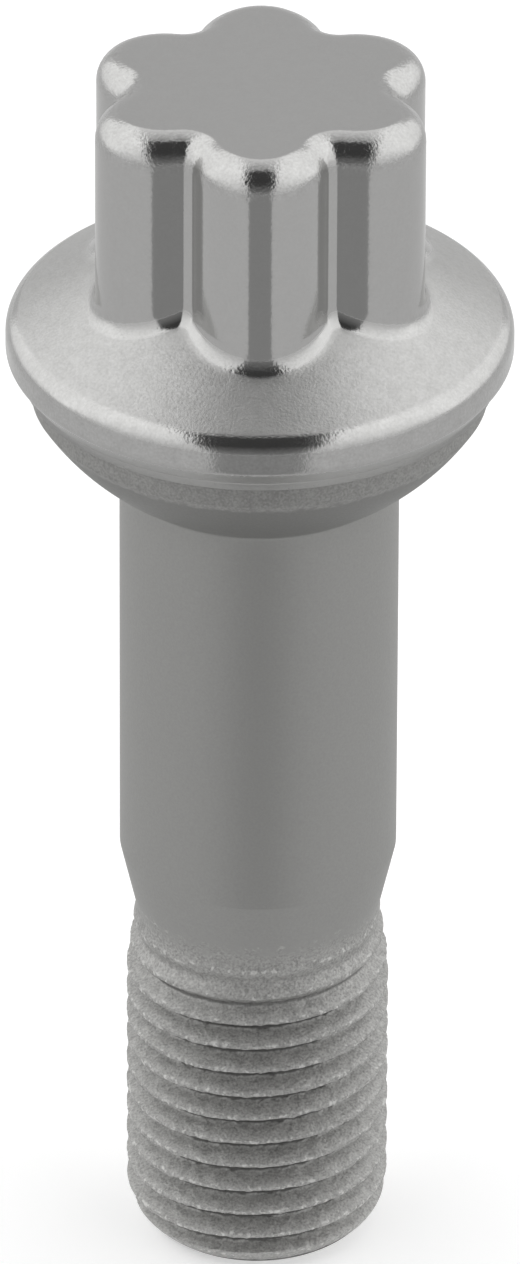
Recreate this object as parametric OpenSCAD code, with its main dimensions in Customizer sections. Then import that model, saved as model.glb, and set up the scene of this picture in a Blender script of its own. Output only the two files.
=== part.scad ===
// Wheel bolt with a six-lobed head under a drawn bright cover.
// It stands on its threaded end, with the axis on Z and the origin in the middle of the end face.

/* [Thread] */
// Nominal outside diameter of the thread
thread_d = 14; // [12.5:0.25:14.25]
// Rise of the thread in one turn
thread_pitch = 1.5; // [1.25:0.25:2]
// Length of the thread at its full depth, from the end face
thread_len = 15.6; // [10:0.1:18]
// Length over which the thread fades out towards the neck
fade_len = 3.8; // [2.5:0.1:5]
// Diameter of the flat end face
point_d = 11.2; // [9:0.1:11.6]
// Length of the rounded point, up to the full thread
point_len = 3; // [1.5:0.1:4]

/* [Shank] */
// Diameter of the plain shank
shank_d = 14.7; // [14.3:0.1:16]
// Length from the end face up to the ball seat
under_seat_len = 46.3; // [38:0.1:60]
// Plain length between the thread and the cone
neck_len = 0.3; // [0.2:0.1:2]
// Length of the cone that widens from the neck to the shank
cone_len = 3.7; // [1.5:0.1:5]

/* [Ball seat] */
// Radius of the ball that the seat is part of
seat_ball_r = 14; // [12:0.25:15]
// Height of the seat, from the shank up to the collar
seat_h = 4.65; // [3:0.05:5.4]
// Height of the plain collar between the seat and the cover
collar_h = 1.25; // [0.5:0.05:3]

/* [Flange] */
// Diameter of the covered flange at its widest
flange_d = 26.6; // [25.8:0.1:30]
// Distance by which the cover's lower edge stands out past the collar
edge_lip = 0.2; // [0.1:0.05:0.4]
// Height over which the cover is tucked in under the flange
tuck_h = 1.5; // [0.8:0.1:2.5]
// Radius of the bend where the tucked part starts
tuck_r = 0.6; // [0.3:0.1:0.6]
// Height of the straight wall round the flange
wall_h = 0.9; // [0.6:0.05:3]
// Radius of the flange's shoulder
shoulder_r = 1.2; // [1:0.1:2]
// Slope of the flange's top, in degrees
top_slope = 32; // [15:1:38]

/* [Lobed head] */
// Distance of each lobe's own centre from the axis
lobe_out = 6.2; // [5.6:0.05:6.4]
// Radius of each lobe's tip
lobe_r = 3.2; // [2.9:0.05:3.4]
// Radius of each lobe's flanks
flank_r = 4; // [3.6:0.05:4.4]
// Radius of the hollow between two lobes
valley_r = 0.75; // [0.6:0.05:1.2]
// Height of the head's top above the ball seat's lower edge
head_h = 23.1; // [17:0.1:30]
// Rounding of the head's upper edge
crown_r = 1.6; // [1:0.1:2.2]
// Rounding where the head meets the flange
foot_r = 0.85; // [0.6:0.05:1.2]

/* [Cover] */
// Thickness of the cover's sheet
sheet_t = 0.5; // [0.3:0.05:0.8]
// Clearance between the cover and the forged head
cover_gap = 0.05; // [0.02:0.01:0.12]

/* [Hidden] */
$fn = 96;

// Thread section: the blank has the pitch diameter, and the rolling raises crests and sinks roots.
crest_r = thread_d / 2;
root_r = crest_r - 0.6134 * thread_pitch;
blank_r = crest_r - 0.3248 * thread_pitch;
crest_w = thread_pitch / 8;
flank_w = (crest_r - root_r) * tan(30);
root_w = thread_pitch - crest_w - 2 * flank_w;
// Heights of the section's corners within one pitch, with their radii
section = [
    [0, crest_r],
    [crest_w, crest_r],
    [crest_w + flank_w, root_r],
    [crest_w + flank_w + root_w, root_r]
];
thread_sides = 36;
// Turn of the rolled thread about the axis, which sets where its start lies under the lobes
thread_turn = 129;
// The turned point stands below the rolled part and slightly inside it
bevel_h = 0.1 * point_len;
joint_step = 0.03;
neck_z = thread_len + fade_len + neck_len;
thread_top_z = neck_z + cone_len / 4;

// Heights along the axis, from the end face up
shank_r = shank_d / 2;
shank_z = neck_z + cone_len;
seat_z = under_seat_len;
ball_z = seat_z + sqrt(pow(seat_ball_r, 2) - pow(shank_r, 2));
collar_z = seat_z + seat_h;
collar_r = sqrt(pow(seat_ball_r, 2) - pow(ball_z - collar_z, 2));
edge_z = collar_z + collar_h;
tuck_z = edge_z + tuck_h;
shoulder_z = tuck_z + wall_h;
top_z = seat_z + head_h;

// Flange section
flange_r = flange_d / 2;
edge_r = collar_r + edge_lip;
tuck_angle = atan((flange_r - edge_r) / tuck_h);
shoulder_out = flange_r - shoulder_r;
top_normal = 90 - top_slope;
inner_r = lobe_out;

// Lobed outline: each tip's arc runs into flatter flanks, and these into the hollows beside it
lobes = 6;
half_pitch = 180 / lobes;
front_tip = -90;
tip_sweep = 30;
flank_out = lobe_out - (flank_r - lobe_r) * cos(tip_sweep);
flank_aside = (flank_r - lobe_r) * sin(tip_sweep);
flank_across = flank_out * sin(half_pitch) + flank_aside * cos(half_pitch);
valley_out = flank_out * cos(half_pitch) - flank_aside * sin(half_pitch)
    + sqrt(pow(flank_r + valley_r, 2) - pow(flank_across, 2));
lobe_sweep = atan2(valley_out * sin(half_pitch) + flank_aside, valley_out * cos(half_pitch) - flank_out);
lobe_steps = 12;
valley_steps = 4;
crown_steps = 6;
foot_steps = 5;
// The foot's last ring lies this far under the flange's top
foot_sink = 0.03;
skirt_h = 1.2;

// Unit vector at an angle in the plane
function aim(a) = [cos(a), sin(a)];

// Outline points of the lobed head, each with its outward normal
function outline() = [
    for (k = [0 : lobes - 1])
        let (tip = front_tip + 2 * half_pitch * k)
            each concat(lobe_arc(tip), valley_arc(tip))
];

function lobe_arc(tip) = [
    for (j = [0 : lobe_steps])
        let (
            a = -lobe_sweep + 2 * lobe_sweep * j / lobe_steps,
            tip_centre = lobe_out * aim(tip),
            flank_centre = flank_out * aim(tip) - sign(a) * flank_aside * aim(tip + 90),
            centre = abs(a) > tip_sweep ? flank_centre : tip_centre,
            r = abs(a) > tip_sweep ? flank_r : lobe_r
        )
        [centre + r * aim(tip + a), aim(tip + a)]
];

function valley_arc(tip) = [
    for (j = [1 : valley_steps - 1])
        let (a = tip + lobe_sweep + 2 * (half_pitch - lobe_sweep) * j / valley_steps)
            [valley_out * aim(tip + half_pitch) - valley_r * aim(a), aim(a)]
];

// Height of the flange's top at a radius, for the surface at a depth under the outside
function slope_z(r, depth) =
    shoulder_z + shoulder_r * sin(top_normal)
    + (shoulder_out + shoulder_r * cos(top_normal) - r) * tan(top_slope)
    - depth / cos(top_slope);

// Ring of the head's outline, pushed out along its normals and put at one height
function level_ring(points, out, z) = [
    for (p = points)
        let (q = p[0] + out * p[1])
            [q[0], q[1], z]
];

// Ring of the rounded foot, at a share of its bend from the wall to the flange's top
function foot_ring(points, depth, share, drop) =
    let (r = foot_r + depth)
    [
        for (p = points)
            let (
                lean = 90 - atan(tan(top_slope) * (p[0] * p[1]) / norm(p[0])),
                last = p[0] + (r * (1 - cos(lean)) - depth) * p[1],
                now = p[0] + (r * (1 - cos(lean * share)) - depth) * p[1],
                z = slope_z(norm(last), depth) - foot_sink + r * (sin(lean) - sin(lean * share))
            )
            [now[0], now[1], z - drop]
    ];

// Solid through a stack of rings, from the lowest ring up
module stacked(rings) {
    count = len(rings[0]);
    levels = len(rings);
    points = [for (ring = rings) each ring];
    sides = [
        for (j = [0 : levels - 2])
            for (i = [0 : count - 1])
                let (
                    a = j * count + i,
                    b = j * count + (i + 1) % count
                )
                each [[a, a + count, b + count], [a, b + count, b]]
    ];
    floor_face = [[for (i = [0 : count - 1]) i]];
    roof_face = [[for (i = [count - 1 : -1 : 0]) (levels - 1) * count + i]];
    polyhedron(points = points, faces = concat(floor_face, sides, roof_face), convexity = 8);
}

// Lobed head as a closed form, at a depth under its outside
module lobed_form(depth) {
    points = outline();
    crown = max(crown_r - depth, 0.2);
    skirt = [foot_ring(points, depth, 1, skirt_h)];
    foot = [for (j = [foot_steps : -1 : 0]) foot_ring(points, depth, j / foot_steps, 0)];
    rounding = [
        for (j = [0 : crown_steps])
            let (a = 90 * j / crown_steps)
                level_ring(points, -depth - crown * (1 - cos(a)), top_z - depth - crown * (1 - sin(a)))
    ];
    stacked(concat(skirt, foot, rounding));
}

// Half section of the flange, at a depth under its outside and down to a height,
// with its lower bend sharp or rounded
module flange_section(depth, low_z, low_bend_r = 0) {
    wall_r = flange_r - depth;
    bend_z = tuck_z + depth * tan(tuck_angle / 2);
    low_r = wall_r - (bend_z - low_z) * tan(tuck_angle);
    low_bend = [wall_r - low_bend_r, bend_z + low_bend_r * tan(tuck_angle / 2)];
    low_corner = low_bend_r > 0
        ? [low_bend + low_bend_r * aim(-tuck_angle), low_bend, low_bend + low_bend_r * aim(0)]
        : [[wall_r, bend_z]];
    top_bend_r = shoulder_r - depth;
    top_bend = [shoulder_out, shoulder_z];
    top_points = [
        [wall_r, shoulder_z],
        top_bend,
        top_bend + top_bend_r * aim(top_normal),
        [inner_r, slope_z(inner_r, depth)],
        [0, slope_z(inner_r, depth)]
    ];
    polygon(concat([[0, low_z], [low_r, low_z]], low_corner, top_points));
    if (low_bend_r > 0)
        translate(low_bend)
            circle(r = low_bend_r);
    translate(top_bend)
        circle(r = top_bend_r);
}

// Half section of the ball seat, with the collar's radius as its limit
module seat_section() {
    intersection() {
        translate([0, ball_z])
            circle(r = seat_ball_r);
        translate([0, seat_z - 1])
            square([collar_r, edge_z - cover_gap - seat_z + 1]);
    }
}

// Half section of the neck, its cone and the plain shank
module shank_section() {
    polygon([
        [0, neck_z - neck_len],
        [blank_r + joint_step, neck_z - neck_len],
        [blank_r + joint_step, neck_z],
        [shank_r, shank_z],
        [shank_r, seat_z + 1],
        [0, seat_z + 1]
    ]);
}

// Everything above the thread that is turned, in one revolve
module turned_part() {
    rotate_extrude() {
        shank_section();
        seat_section();
        flange_section(sheet_t + cover_gap, edge_z - cover_gap);
    }
}

// Radius that the rounded point leaves to the thread at a height
function point_limit(z) =
    crest_r - (crest_r - point_d / 2) * pow(1 - min(z / point_len, 1), 3);

// Depth of the rolling at a height: full along the thread, nothing at the neck
function rolled(z) = min(1, max(0, (thread_len + fade_len - z) / fade_len));

// Radius of the rolled surface at a height, for a corner of the section
function rolled_r(z, corner_r) = min(point_limit(z), blank_r + rolled(z) * (corner_r - blank_r));

// Rolled thread: helical rows of the section's corners, cut level at both ends
module rolled_thread() {
    turns = ceil((thread_top_z - bevel_h) / thread_pitch) + 2;
    corners = len(section);
    rows = corners * turns;
    // Height of a corner before the ends are cut level
    function free_z(i, m) =
        bevel_h - thread_pitch + thread_pitch * (i / thread_sides + floor(m / corners))
        + section[m % corners][0];
    lowest = [
        for (i = [0 : thread_sides])
            max([for (m = [0 : rows - 1]) if (free_z(i, m) <= bevel_h) m])
    ];
    highest = [
        for (i = [0 : thread_sides])
            min([for (m = [0 : rows - 1]) if (free_z(i, m) >= thread_top_z) m])
    ];
    // Index of a point, with every row past an end brought back to the end's own row
    function spot(i, m) =
        let (
            lap = i >= thread_sides ? 1 : 0,
            column = i - lap * thread_sides,
            row = m + lap * corners
        )
        column * rows + min(max(row, lowest[column]), highest[column]);
    points = [
        for (i = [0 : thread_sides - 1])
            for (m = [0 : rows - 1])
                let (
                    z = min(max(free_z(i, m), bevel_h), thread_top_z),
                    r = rolled_r(z, section[m % corners][1]),
                    a = 360 * i / thread_sides
                )
                [r * cos(a), r * sin(a), z]
    ];
    sides = [
        for (i = [0 : thread_sides - 1])
            for (m = [0 : rows - 2])
                let (
                    a = spot(i, m),
                    b = spot(i + 1, m),
                    c = spot(i + 1, m + 1),
                    d = spot(i, m + 1)
                )
                each [
                    if (a != d && c != d) [a, d, c],
                    if (b != c && a != b) [a, c, b]
                ]
    ];
    floor_face = [[for (i = [0 : thread_sides - 1]) spot(i, 0)]];
    roof_face = [[for (i = [thread_sides - 1 : -1 : 0]) spot(i, rows - 1)]];
    polyhedron(points = points, faces = concat(floor_face, sides, roof_face), convexity = 20);
}

// Flat turned end under the rolled thread
module turned_point() {
    end_r = point_limit(bevel_h) - joint_step;
    cylinder(h = bevel_h, r1 = point_d / 2, r2 = end_r);
    translate([0, 0, bevel_h])
        cylinder(h = bevel_h, r = end_r);
}

// The forged bolt: thread, shank, ball seat, flange and lobed core
module bolt_body() {
    color([0.52, 0.52, 0.51]) {
        turned_point();
        rotate(thread_turn)
            rolled_thread();
        turned_part();
        lobed_form(sheet_t + cover_gap);
    }
}

// The drawn cover: lobes, flange and tucked edge of one sheet
module head_cap() {
    color([0.74, 0.74, 0.73])
        difference() {
            union() {
                rotate_extrude()
                    flange_section(0, edge_z, tuck_r);
                lobed_form(0);
            }
            union() {
                rotate_extrude()
                    flange_section(sheet_t, edge_z - 1);
                lobed_form(sheet_t);
            }
        }
}

bolt_body();
head_cap();
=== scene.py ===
"""Studio scene of a wheel bolt: a forged bolt with a rolled thread under a bright drawn cover.

Sizes are written in millimetres in the classes' fields, and the finished meshes are in metres.
"""

import logging
import math
from dataclasses import dataclass, field
from enum import Enum
from typing import Sequence, Union

import bmesh
import bpy
from mathutils import Matrix, Vector


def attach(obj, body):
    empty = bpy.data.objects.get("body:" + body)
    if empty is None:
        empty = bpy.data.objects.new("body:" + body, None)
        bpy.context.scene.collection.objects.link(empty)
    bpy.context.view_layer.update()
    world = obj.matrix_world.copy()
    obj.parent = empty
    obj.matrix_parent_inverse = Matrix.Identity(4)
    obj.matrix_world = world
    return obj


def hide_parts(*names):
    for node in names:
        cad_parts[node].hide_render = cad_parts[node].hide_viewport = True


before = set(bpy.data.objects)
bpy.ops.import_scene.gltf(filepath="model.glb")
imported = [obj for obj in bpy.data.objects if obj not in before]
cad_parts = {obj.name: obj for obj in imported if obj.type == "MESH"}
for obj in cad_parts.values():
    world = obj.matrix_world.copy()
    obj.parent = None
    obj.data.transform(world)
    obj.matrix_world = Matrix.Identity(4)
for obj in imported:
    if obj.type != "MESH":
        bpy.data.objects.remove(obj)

LOG = logging.getLogger("wheel_bolt")
PHOTO_SIZE = (520, 1264)
MM = 0.001
FULL_TURN = 2.0 * math.pi

LOBES = 6
HALF_PITCH = math.pi / LOBES
# Angle from a lobe's middle at which the tip's arc runs into the flatter flank.
TIP_SWEEP = math.radians(30.0)
# Angle of every grid's first column: a hollow, so that each lobe takes whole columns.
FIRST_VALLEY = -math.pi / 2 - HALF_PITCH
# Columns of faces round the axis, and the share of a half lobe's columns that lie on the lobe itself.
COLUMNS = 240
LOBE_SHARE = 0.75
# A small step past the last column on the lobe.
HAIR = 1e-4
# Rows of faces on the head's top, crown, wall and foot, on the apron out to the shoulder, and on the end face.
TOP_ROWS, CROWN_ROWS, WALL_ROWS, FOOT_ROWS, APRON_ROWS, END_ROWS = 8, 12, 12, 10, 14, 6
# How much more the foot runs straight out from the axis than across the wall, so that hollows don't pinch it.
FOOT_SPREAD = 2.0
# Rounding that the crown keeps on surfaces deep under the cover.
LEAST_CROWN_R = 0.2

# Rolled thread: half the groove's angle, half the flat crest, and two depths, as shares of the pitch.
FLANK_LEAN = math.radians(30.0)
HALF_CREST = 1.0 / 16.0
ROOT_DEPTH = 0.6134
BLANK_DEPTH = 0.3248
ROWS_PER_TURN = 16.0
# Turns that the thread's grid has beyond its two ends, where they are pressed flat.
SPARE_TURNS = 2.0

# How steeply the mask of a speck in the coating rises at the speck's edge.
SPECK_EDGE = 12.0

# Distances in metres within which points are one point, and below which an edge has no length.
SEAM = 3e-6
SAME_POINT = 2e-6
NO_LENGTH = 1e-7

Point = tuple[float, float]
Place = tuple[float, float, float]
Colour = tuple[float, float, float]

BLACK = (0.0, 0.0, 0.0, 1.0)
WHITE = (1.0, 1.0, 1.0, 1.0)


class TreeKind(Enum):
    """The two kinds of node tree that the script builds."""

    GEOMETRY = "GeometryNodeTree"
    SHADER = "ShaderNodeTree"


class Formula:
    """A number that varies over a mesh or a surface, written with ordinary operators."""

    def __init__(self, tree: bpy.types.NodeTree, socket: bpy.types.NodeSocket) -> None:
        """Wraps a node's output."""
        self.tree = tree
        self.socket = socket

    def apply(self, operation: str, *others: "Number") -> "Formula":
        """Adds a Math node on this number.

        Args:
            operation: The Math node's operation.
            *others: Its other inputs, in order.

        Returns:
            The node's result.
        """
        node = self.tree.nodes.new("ShaderNodeMath")
        node.operation = operation
        for slot, value in zip(node.inputs, (self, *others)):
            feed(self.tree, slot, value)
        return Formula(self.tree, node.outputs[0])

    def __add__(self, other: "Number") -> "Formula":
        """Sum."""
        return self.apply("ADD", other)

    def __sub__(self, other: "Number") -> "Formula":
        """Difference."""
        return self.apply("SUBTRACT", other)

    def __rsub__(self, other: float) -> "Formula":
        """Difference, from a plain number."""
        return (self * -1.0) + other

    def __mul__(self, other: "Number") -> "Formula":
        """Product."""
        return self.apply("MULTIPLY", other)

    def __truediv__(self, other: "Number") -> "Formula":
        """Quotient."""
        return self.apply("DIVIDE", other)

    def sin(self) -> "Formula":
        """Sine."""
        return self.apply("SINE")

    def cos(self) -> "Formula":
        """Cosine."""
        return self.apply("COSINE")

    def tan(self) -> "Formula":
        """Tangent."""
        return self.apply("TANGENT")

    def abs(self) -> "Formula":
        """Size without its sign."""
        return self.apply("ABSOLUTE")

    def floor(self) -> "Formula":
        """Whole part."""
        return self.apply("FLOOR")

    def sign(self) -> "Formula":
        """Minus one, nought or one."""
        return self.apply("SIGN")

    def root(self) -> "Formula":
        """Square root."""
        return self.apply("SQRT")

    def power(self, other: "Number") -> "Formula":
        """This number to a power."""
        return self.apply("POWER", other)

    def least(self, other: "Number") -> "Formula":
        """The smaller of two numbers."""
        return self.apply("MINIMUM", other)

    def most(self, other: "Number") -> "Formula":
        """The larger of two numbers."""
        return self.apply("MAXIMUM", other)

    def above(self, other: "Number") -> "Formula":
        """One where this number is above the other, and else nought."""
        return self.apply("GREATER_THAN", other)

    def clamped(self, low: "Number", high: "Number") -> "Formula":
        """This number held between two limits."""
        return self.most(low).least(high)

    def step(self, low: float, high: float) -> "Formula":
        """A smooth change from nought at low to one at high, where low may be the larger of the two."""
        share = ((self - low) * (1.0 / (high - low))).clamped(0.0, 1.0)
        return share * share * (3.0 - share * 2.0)

    def blend(self, start: "Number", end: "Number") -> "Formula":
        """A mix of two numbers, where this number is the share of the second."""
        return (1.0 - self) * start + self * end


Number = Union[Formula, float]


def feed(tree: bpy.types.NodeTree, slot: bpy.types.NodeSocket, value: object) -> None:
    """Gives a node's input its value.

    Args:
        tree: The tree that the node is in.
        slot: The input.
        value: A formula or a socket to link, or a plain value.
    """
    if isinstance(value, Formula):
        tree.links.new(value.socket, slot)
    elif isinstance(value, bpy.types.NodeSocket):
        tree.links.new(value, slot)
    else:
        slot.default_value = value


def feed_named(tree: bpy.types.NodeTree, node: bpy.types.Node, values: dict[str, object]) -> bpy.types.Node:
    """Gives several of a node's inputs their values.

    Args:
        tree: The tree that the node is in.
        node: The node.
        values: Formulas, sockets or plain values by input name.

    Returns:
        The node.
    """
    for name, value in values.items():
        feed(tree, node.inputs[name], value)
    return node


def mesh_object(name: str, points: Sequence[Place], edges: Sequence[tuple[int, int]] = (),
                faces: Sequence[tuple[int, ...]] = ()) -> bpy.types.Object:
    """A mesh object of the given points, linked to the scene.

    Args:
        name: The mesh's and the object's name.
        points: The points, in metres.
        edges: Pairs of points.
        faces: Rings of points.

    Returns:
        The object.
    """
    mesh = bpy.data.meshes.new(name)
    mesh.from_pydata(points, edges, faces)
    made = bpy.data.objects.new(name, mesh)
    bpy.context.scene.collection.objects.link(made)
    return made


class TreeKit:
    """Builds one node tree: its named inputs, its nodes and its outputs."""

    def __init__(self, name: str, kind: TreeKind) -> None:
        """Starts an empty tree with its two end nodes.

        Args:
            name: The tree's name.
            kind: Geometry or shader.
        """
        self.tree = bpy.data.node_groups.new(name, kind.value)
        self.entry = self.tree.nodes.new("NodeGroupInput")
        self.exit = self.tree.nodes.new("NodeGroupOutput")

    def node(self, kind: str, **inputs: object) -> bpy.types.Node:
        """Adds a node and feeds its inputs.

        Args:
            kind: The node's type.
            **inputs: Values by input name, with an underscore for each space.

        Returns:
            The new node.
        """
        spaced = {name.replace("_", " "): value for name, value in inputs.items()}
        return feed_named(self.tree, self.tree.nodes.new(kind), spaced)

    def socket_in(self, name: str, kind: str = "NodeSocketFloat",
                  default: object = None) -> bpy.types.NodeSocket:
        """Adds a named input to the tree.

        Args:
            name: The input's name.
            kind: Its socket type.
            default: Its value where nothing sets it.

        Returns:
            The socket that carries it inside the tree.
        """
        item = self.tree.interface.new_socket(name, in_out="INPUT", socket_type=kind)
        if default is not None:
            item.default_value = default
        return self.entry.outputs[name]

    def number(self, name: str, default: float = 0.0) -> Formula:
        """Adds a named number to the tree's inputs."""
        return Formula(self.tree, self.socket_in(name, default=default))

    def numbers(self, values: dict[str, float]) -> dict[str, Formula]:
        """Adds several named numbers with their values."""
        return {name: self.number(name, value) for name, value in values.items()}

    def result(self, name: str, kind: str, value: object) -> None:
        """Adds a named output of a socket type, and feeds it."""
        self.tree.interface.new_socket(name, in_out="OUTPUT", socket_type=kind)
        feed(self.tree, self.exit.inputs[name], value)

    def formula(self, socket: bpy.types.NodeSocket) -> Formula:
        """A socket as a formula."""
        return Formula(self.tree, socket)

    def grid_shares(self) -> tuple[Formula, Formula]:
        """Shares of the way along a unit grid's columns and along its rows."""
        parts = self.node("ShaderNodeSeparateXYZ", Vector=self.node("GeometryNodeInputPosition").outputs[0])
        return self.formula(parts.outputs[0]) + 0.5, self.formula(parts.outputs[1]) + 0.5

    def sheet(self, rows: Number, place: tuple[Formula, Formula, Formula]) -> bpy.types.NodeSocket:
        """A grid of faces round the axis, put in place by three formulas.

        Args:
            rows: Faces along the section.
            place: X, Y and Z in millimetres.

        Returns:
            The geometry.
        """
        grid = self.node("GeometryNodeMeshGrid", Size_X=1.0, Size_Y=1.0)
        feed_named(self.tree, grid, {"Vertices X": COLUMNS + 1, "Vertices Y": rows + 1})
        spot = self.vector([value * MM for value in place])
        return self.node("GeometryNodeSetPosition", Geometry=grid.outputs["Mesh"], Position=spot).outputs[0]

    def vector(self, parts: Sequence[Formula]) -> bpy.types.NodeSocket:
        """Three formulas as one vector."""
        x, y, z = parts
        return self.node("ShaderNodeCombineXYZ", X=x, Y=y, Z=z).outputs[0]

    def joined(self, parts: Sequence[bpy.types.NodeSocket]) -> bpy.types.NodeSocket:
        """Joins several geometries.

        Args:
            parts: The geometries.

        Returns:
            All of them as one.
        """
        join = self.node("GeometryNodeJoinGeometry")
        for part in parts:
            self.tree.links.new(part, join.inputs[0])
        return join.outputs[0]

    def group(self, tree: bpy.types.NodeTree, values: dict[str, object]) -> bpy.types.NodeSocket:
        """Places another geometry tree in this one as a group.

        Args:
            tree: The other tree.
            values: Its inputs by name.

        Returns:
            The group's geometry.
        """
        made = self.tree.nodes.new("GeometryNodeGroup")
        made.node_tree = tree
        return feed_named(self.tree, made, values).outputs[0]

    def finish_mesh(self, geometry: bpy.types.NodeSocket) -> None:
        """Ends a geometry tree: seams merged, smooth, instances made real, material set.

        Args:
            geometry: What the tree has made.
        """
        material = self.socket_in("Material", "NodeSocketMaterial")
        merged = self.node("GeometryNodeMergeByDistance", Geometry=geometry, Distance=SEAM)
        smooth = self.node("GeometryNodeSetShadeSmooth", Geometry=merged.outputs[0])
        real = self.node("GeometryNodeRealizeInstances", Geometry=smooth.outputs[0])
        dressed = self.node("GeometryNodeSetMaterial", Geometry=real.outputs[0], Material=material)
        self.result("Geometry", "NodeSocketGeometry", dressed.outputs[0])


@dataclass
class HeadSizes:
    """Sizes of the lobed head, as seen on the cover's outside."""

    lobe_out: float = 6.2
    lobe_r: float = 3.2
    flank_r: float = 4.0
    valley_r: float = 0.75
    top_z: float = 69.4
    crown_r: float = 1.6
    foot_r: float = 1.7

    @property
    def flank_out(self) -> float:
        """Distance along a lobe's middle to the centre of its flanks' arcs."""
        return self.lobe_out - (self.flank_r - self.lobe_r) * math.cos(TIP_SWEEP)

    @property
    def flank_aside(self) -> float:
        """Distance of a flank's centre from the lobe's middle, on the far side from the flank."""
        return (self.flank_r - self.lobe_r) * math.sin(TIP_SWEEP)

    @property
    def valley_out(self) -> float:
        """Distance from the axis to the centre of each hollow's arc.

        Returns:
            The distance at which the arc just touches the flanks on its two sides.
        """
        across = self.flank_out * math.sin(HALF_PITCH) + self.flank_aside * math.cos(HALF_PITCH)
        along = self.flank_out * math.cos(HALF_PITCH) - self.flank_aside * math.sin(HALF_PITCH)
        return along + math.sqrt((self.flank_r + self.valley_r) ** 2 - across**2)

    @property
    def sweep(self) -> float:
        """Angle through which each side of a lobe runs, up to the hollow."""
        x = self.valley_out * math.cos(HALF_PITCH) - self.flank_out
        return math.atan2(self.valley_out * math.sin(HALF_PITCH) + self.flank_aside, x)


@dataclass
class SeatSizes:
    """Sizes of the ball seat, with the shank under it and the collar over it."""

    shank_r: float = 7.35
    seat_z: float = 46.3
    ball_r: float = 14.0
    seat_h: float = 4.65
    collar_h: float = 1.25

    @property
    def ball_z(self) -> float:
        """Height of the ball's centre."""
        return self.seat_z + math.sqrt(self.ball_r**2 - self.shank_r**2)

    @property
    def collar_z(self) -> float:
        """Height at which the collar starts."""
        return self.seat_z + self.seat_h

    @property
    def collar_r(self) -> float:
        """Radius of the collar."""
        return math.sqrt(self.ball_r**2 - (self.ball_z - self.collar_z) ** 2)


@dataclass
class FlangeSizes:
    """Sizes of the covered flange, as seen on the cover's outside."""

    seat: SeatSizes = field(default_factory=SeatSizes)
    flange_r: float = 13.3
    edge_lip: float = 0.2
    tuck_h: float = 1.5
    wall_h: float = 0.9
    shoulder_r: float = 1.2
    tuck_bend_r: float = 0.6
    slope_deg: float = 32.0

    @property
    def edge_z(self) -> float:
        """Height of the cover's lower edge."""
        return self.seat.collar_z + self.seat.collar_h

    @property
    def edge_r(self) -> float:
        """Radius of the cover's lower edge, a lip's width past the collar."""
        return self.seat.collar_r + self.edge_lip

    @property
    def tuck_z(self) -> float:
        """Height at which the straight wall starts."""
        return self.edge_z + self.tuck_h

    @property
    def shoulder_z(self) -> float:
        """Height at which the shoulder starts."""
        return self.tuck_z + self.wall_h

    @property
    def shoulder_out(self) -> float:
        """Distance from the axis to the centre of the shoulder's arc."""
        return self.flange_r - self.shoulder_r

    @property
    def slope(self) -> float:
        """Slope of the flange's top, in radians."""
        return math.radians(self.slope_deg)

    @property
    def tuck_angle(self) -> float:
        """Angle at which the cover is tucked in, in radians."""
        return math.atan((self.flange_r - self.edge_r) / self.tuck_h)

    def slope_z(self, radius: float, depth: float) -> float:
        """Height of the flange's top.

        Args:
            radius: Distance from the axis.
            depth: Depth under the cover's outside.

        Returns:
            The height.
        """
        top = self.shoulder_z + self.shoulder_r * math.cos(self.slope)
        out = self.shoulder_out + self.shoulder_r * math.sin(self.slope) - radius
        return top + out * math.tan(self.slope) - depth / math.cos(self.slope)

    def shoulder_start(self, depth: float) -> float:
        """Radius at which the slope runs into the shoulder, at a depth."""
        return self.shoulder_out + (self.shoulder_r - depth) * math.sin(self.slope)


class Profile:
    """Half section of a turned form, as points of radius and height."""

    def __init__(self) -> None:
        """Starts an empty section."""
        self.points: list[Point] = []

    def add(self, *points: Point) -> "Profile":
        """Adds points to the section's end."""
        self.points.extend(points)
        return self

    def line(self, end: Point, steps: int) -> "Profile":
        """Adds a straight run.

        Args:
            end: Where it ends.
            steps: In how many steps.

        Returns:
            This section.
        """
        r0, z0 = self.points[-1]
        for i in range(1, steps + 1):
            share = i / steps
            self.points.append((r0 + (end[0] - r0) * share, z0 + (end[1] - z0) * share))
        return self

    def arc(self, centre: Point, radius: float, start: float, end: float, steps: int) -> "Profile":
        """Adds an arc.

        Args:
            centre: The arc's centre.
            radius: Its radius.
            start: Angle of its first point, in radians from outward.
            end: Angle of its last point.
            steps: In how many steps.

        Returns:
            This section.
        """
        for i in range(steps + 1):
            a = start + (end - start) * i / steps
            self.points.append((centre[0] + radius * math.cos(a), centre[1] + radius * math.sin(a)))
        return self

    def corner(self, at: Point, towards: Point, radius: float, steps: int) -> "Profile":
        """Adds a rounded corner between the last point and another.

        Args:
            at: The sharp corner.
            towards: Where the section goes after it.
            radius: The rounding's radius.
            steps: In how many steps.

        Returns:
            This section.
        """
        corner = Vector(at)
        back = (Vector(self.points[-1]) - corner).normalized()
        ahead = (Vector(towards) - corner).normalized()
        half = back.angle(ahead) / 2
        centre = corner + (back + ahead).normalized() * (radius / math.sin(half))
        reach = radius / math.tan(half)
        start, end = corner + back * reach - centre, corner + ahead * reach - centre
        a = math.atan2(start.y, start.x)
        turn = (math.atan2(end.y, end.x) - a + math.pi) % FULL_TURN - math.pi
        return self.arc((centre.x, centre.y), radius, a, a + turn, steps)


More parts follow.
